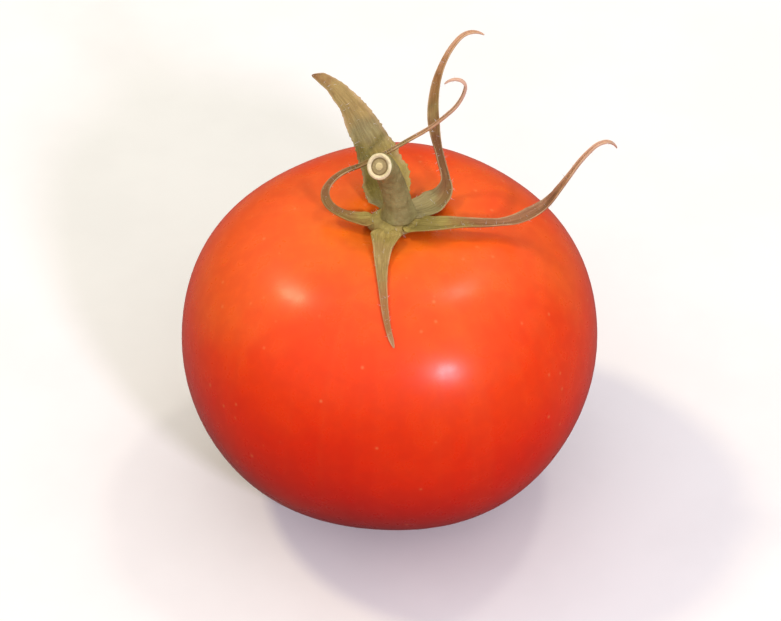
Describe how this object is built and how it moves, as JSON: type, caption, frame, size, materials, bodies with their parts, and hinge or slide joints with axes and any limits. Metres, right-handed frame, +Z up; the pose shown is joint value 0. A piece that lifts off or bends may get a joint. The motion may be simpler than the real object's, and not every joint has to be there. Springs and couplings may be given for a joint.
{
  "type": "tomato",
  "caption": "Ripe round tomato with a smooth, slightly lobed skin, standing on a small flat spot, topped by a dried curling leafy star and a short cut stalk.",
  "frame": {"origin": "middle of the small flat spot that the fruit rests on", "axes": "+Z up along the core to the stalk; the short sepal lies towards -Y, so seen from there +X is to the right"},
  "size_m": [0.0603, 0.0574, 0.0679],
  "materials": {
    "fruit_skin": "gloss",
    "calyx_leaf": "matte",
    "stem_bark": "matte"
  },
  "bodies": {
    "root": {"fruit": "fruit_skin", "calyx_hub": "calyx_leaf", "stem_stub": "stem_bark", "sepal_front": "calyx_leaf", "sepal_right": "calyx_leaf", "sepal_back_right": "calyx_leaf", "sepal_back": "calyx_leaf", "sepal_left": "calyx_leaf"}
  },
  "joints": []
}
